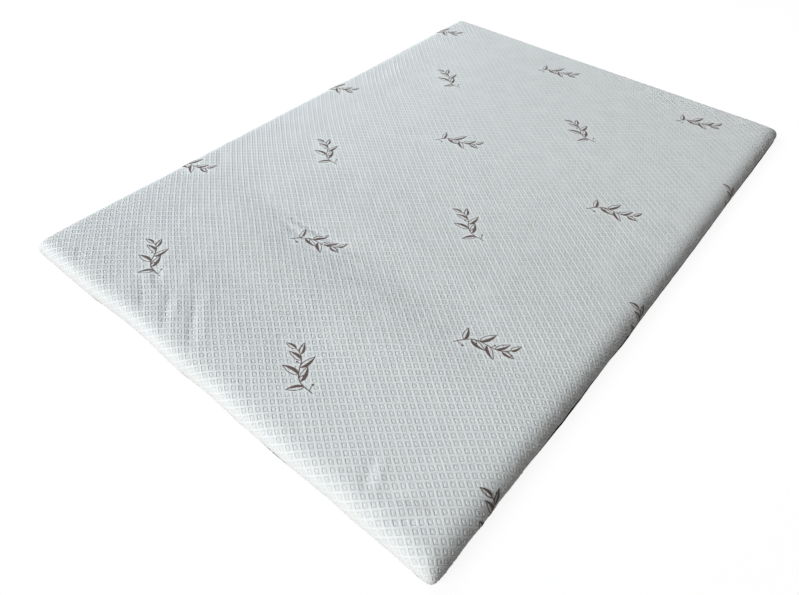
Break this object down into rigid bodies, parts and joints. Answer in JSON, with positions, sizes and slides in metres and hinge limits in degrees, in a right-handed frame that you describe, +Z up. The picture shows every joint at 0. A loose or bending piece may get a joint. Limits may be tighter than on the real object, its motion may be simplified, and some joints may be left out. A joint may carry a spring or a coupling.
{
  "type": "mattress topper",
  "caption": "Low foam mattress topper in a pale diamond knit cover with soft rounded edges, sewn to a thin dark base cloth.",
  "frame": {"origin": "on the floor under the middle of the topper", "axes": "+Y along the length, away from the creased near end, +X across the width, +Z up"},
  "size_m": [1.4, 2, 0.0605],
  "materials": {
    "knitted_cover": "matt pale grey jacquard knit, raised diamonds, sparse grey brown leaf sprigs",
    "base_cloth": "matt dark grey plain cloth"
  },
  "bodies": {
    "root": {"filled_cover": "knitted_cover", "base_cloth": "base_cloth"}
  },
  "joints": []
}
